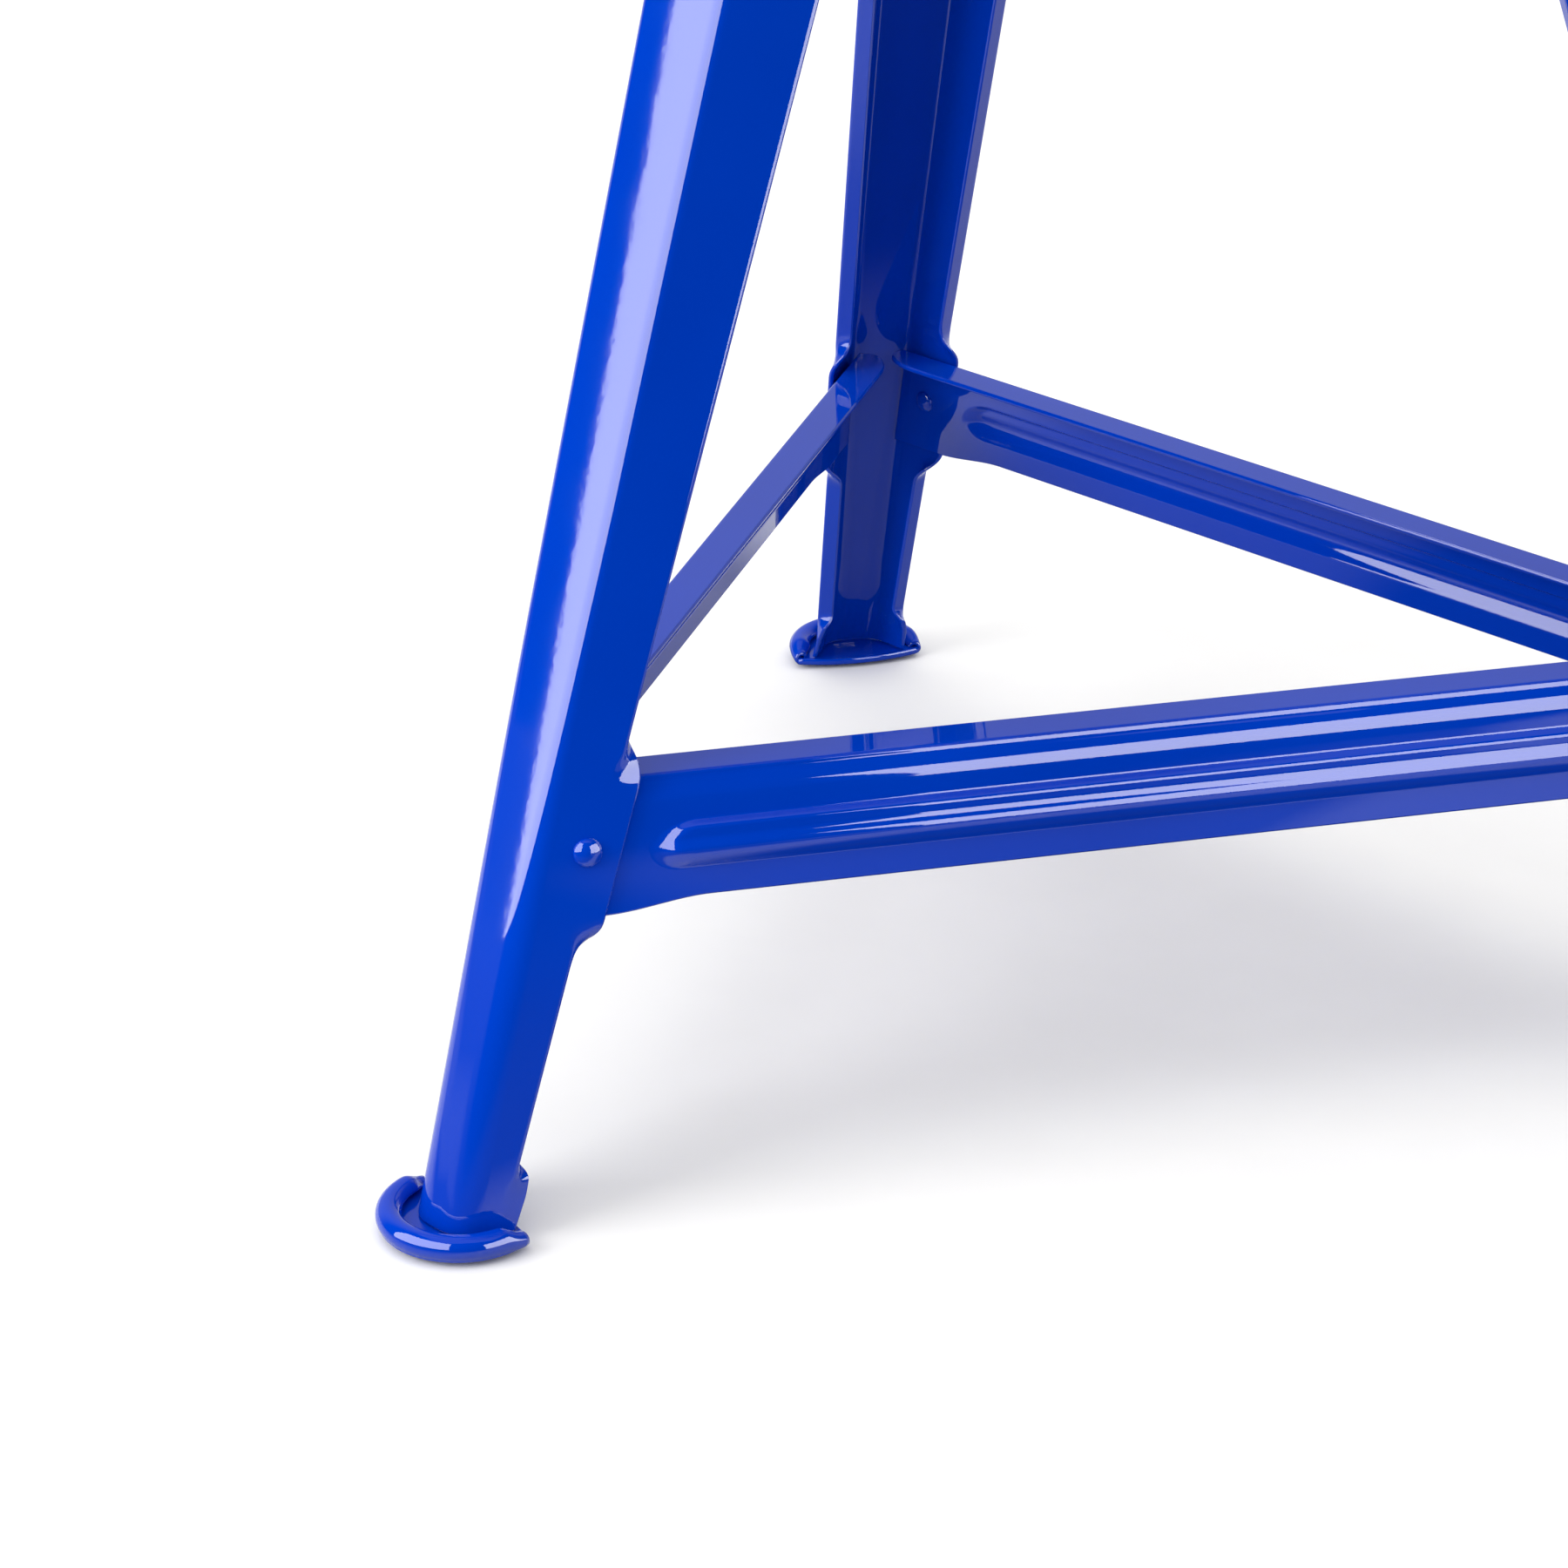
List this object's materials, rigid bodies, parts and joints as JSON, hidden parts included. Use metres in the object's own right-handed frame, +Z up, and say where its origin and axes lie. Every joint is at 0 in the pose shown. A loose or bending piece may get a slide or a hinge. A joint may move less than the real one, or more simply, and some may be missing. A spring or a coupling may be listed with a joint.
{
  "type": "three-legged workshop stool",
  "caption": "Round wooden seat on three splayed folded sheet-steel legs, tied by beaded riveted rails low down and under the seat, with rolled-rim feet.",
  "frame": {"origin": "middle of the bounding box's footprint on the floor; the stool's own three-fold axis stands 33 mm in front of it, at y = -0.033", "axes": "+Z up; +Y to the rear leg; +X to the right seen from the front rail, which runs along X"},
  "size_m": [0.4232, 0.416, 0.4553],
  "materials": {
    "blue_powder_coat": "gloss",
    "beech": "satin",
    "zinc_plate": "satin",
    "black_rubber": "matte"
  },
  "bodies": {
    "root": {"foot_cap_front_left": "blue_powder_coat", "foot_cap_front_right": "blue_powder_coat", "foot_cap_rear": "blue_powder_coat", "glide_front_left": "black_rubber", "glide_front_right": "black_rubber", "glide_rear": "black_rubber", "leg_front_left": "blue_powder_coat", "leg_front_right": "blue_powder_coat", "leg_rear": "blue_powder_coat", "rail_lower_front": "blue_powder_coat", "rail_lower_left": "blue_powder_coat", "rail_lower_right": "blue_powder_coat", "rail_upper_front": "blue_powder_coat", "rail_upper_left": "blue_powder_coat", "rail_upper_right": "blue_powder_coat", "rivet_lower_front_left_left": "blue_powder_coat", "rivet_lower_front_left_right": "blue_powder_coat", "rivet_lower_front_right_left": "blue_powder_coat", "rivet_lower_front_right_right": "blue_powder_coat", "rivet_lower_rear_left": "blue_powder_coat", "rivet_lower_rear_right": "blue_powder_coat", "rivet_upper_front_left_left": "blue_powder_coat", "rivet_upper_front_left_right": "blue_powder_coat", "rivet_upper_front_right_left": "blue_powder_coat", "rivet_upper_front_right_right": "blue_powder_coat", "rivet_upper_rear_left": "blue_powder_coat", "rivet_upper_rear_right": "blue_powder_coat", "seat": "beech", "seat_screw_front_1": "zinc_plate", "seat_screw_front_2": "zinc_plate", "seat_screw_left_1": "zinc_plate", "seat_screw_left_2": "zinc_plate", "seat_screw_right_1": "zinc_plate", "seat_screw_right_2": "zinc_plate"}
  },
  "joints": []
}
